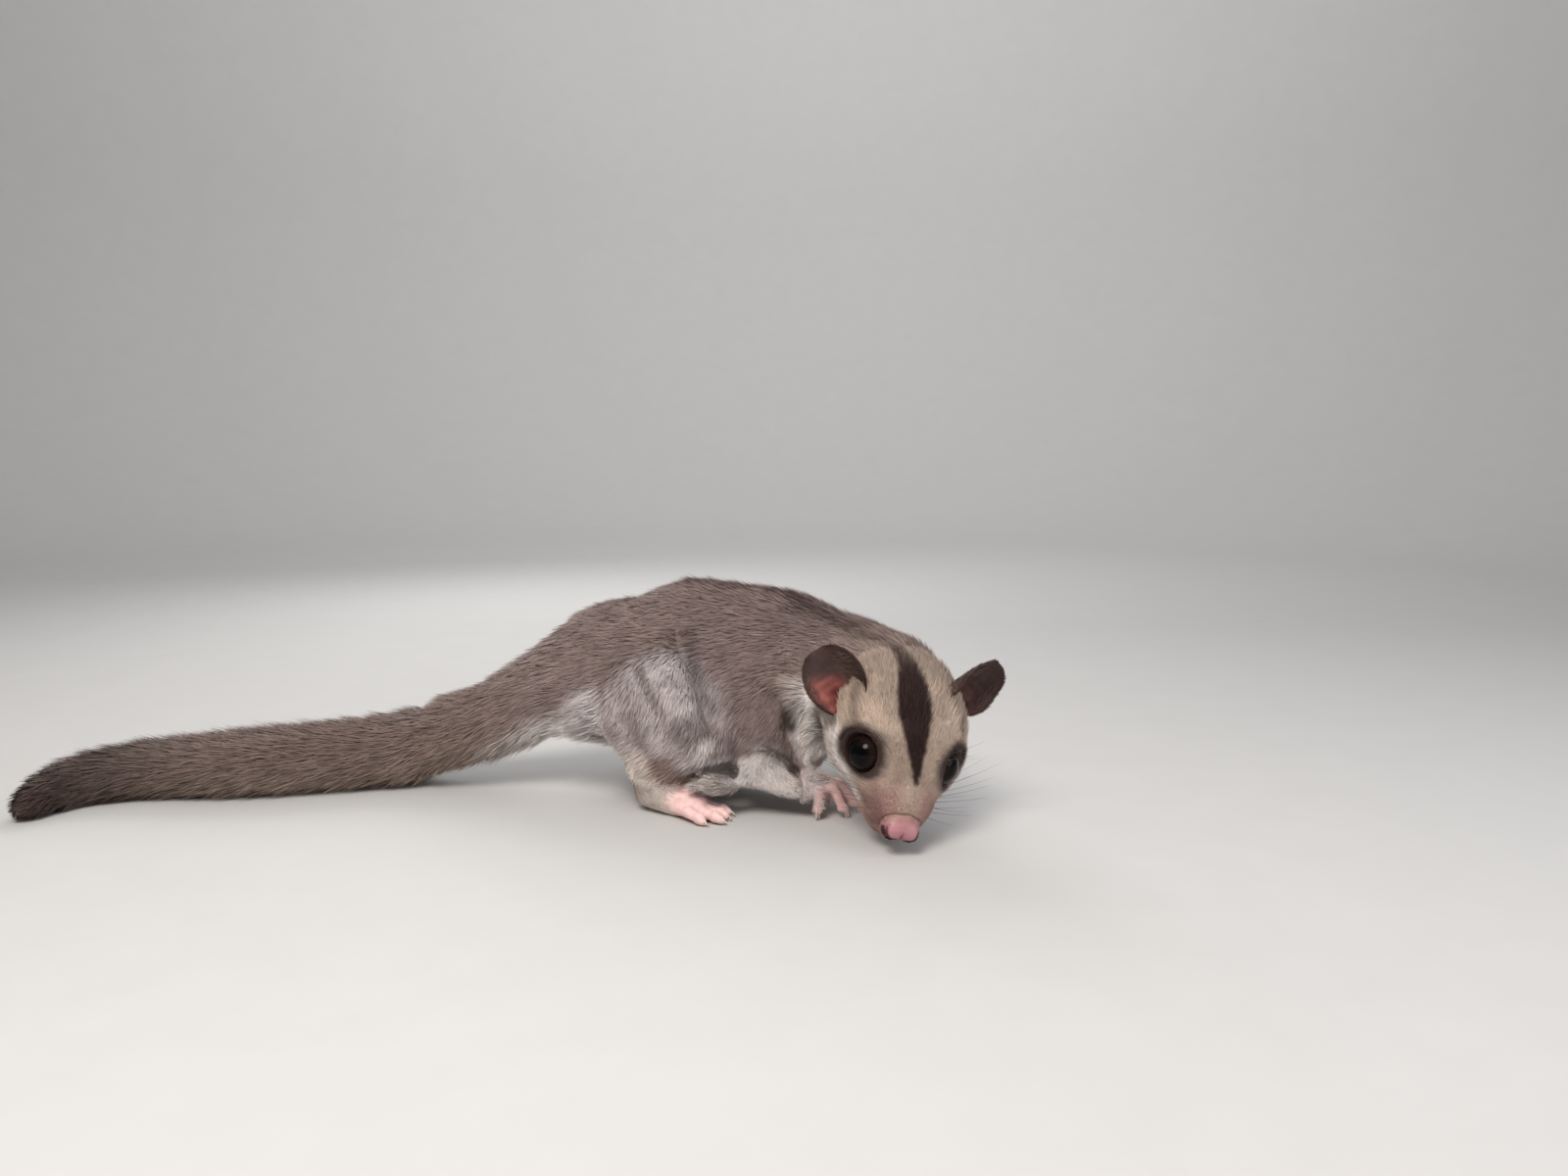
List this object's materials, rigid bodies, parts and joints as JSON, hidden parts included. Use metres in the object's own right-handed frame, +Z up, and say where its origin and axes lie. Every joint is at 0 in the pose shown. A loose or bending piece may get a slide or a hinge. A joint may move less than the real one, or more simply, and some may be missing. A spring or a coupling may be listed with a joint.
{
  "type": "sugar glider",
  "caption": "Small gliding marsupial crouched on four feet with its nose down and its long tail laid out, as a still life-size model.",
  "frame": {"origin": "on the floor, under the middle of the whole animal's bounding box", "axes": "+X from the tail towards the head, +Y to the animal's left, +Z up"},
  "size_m": [0.258, 0.0892, 0.0605],
  "materials": {
    "body_fur": "soft dense grey-brown fur, matt",
    "face_fur": "short cream fur with dark brown stripe and eye rings",
    "tail_fur": "longer brown-grey fur, darker at the tip",
    "fringe_fur": "cream-white fur on the edge of the gliding membrane",
    "bare_skin": "bare pink skin, finely creased",
    "ear_skin": "thin dark ear skin with a pink hollow",
    "eye": "wet black eye, high gloss"
  },
  "bodies": {
    "root": {"head": "face_fur", "eye_R": "eye", "eye_L": "eye", "nose": "bare_skin", "ear_R": "ear_skin", "ear_L": "ear_skin", "hand_R": "bare_skin", "hand_L": "bare_skin", "hind_foot_R": "bare_skin", "hind_foot_L": "bare_skin", "hind_leg_R": "body_fur", "hind_leg_L": "body_fur", "fore_leg_R": "body_fur", "fore_leg_L": "body_fur", "glide_membrane_R": "fringe_fur", "glide_membrane_L": "fringe_fur", "tail_end": "tail_fur", "tail_mid": "tail_fur", "tail_root": "tail_fur", "neck": "body_fur", "torso": "body_fur"}
  },
  "joints": []
}
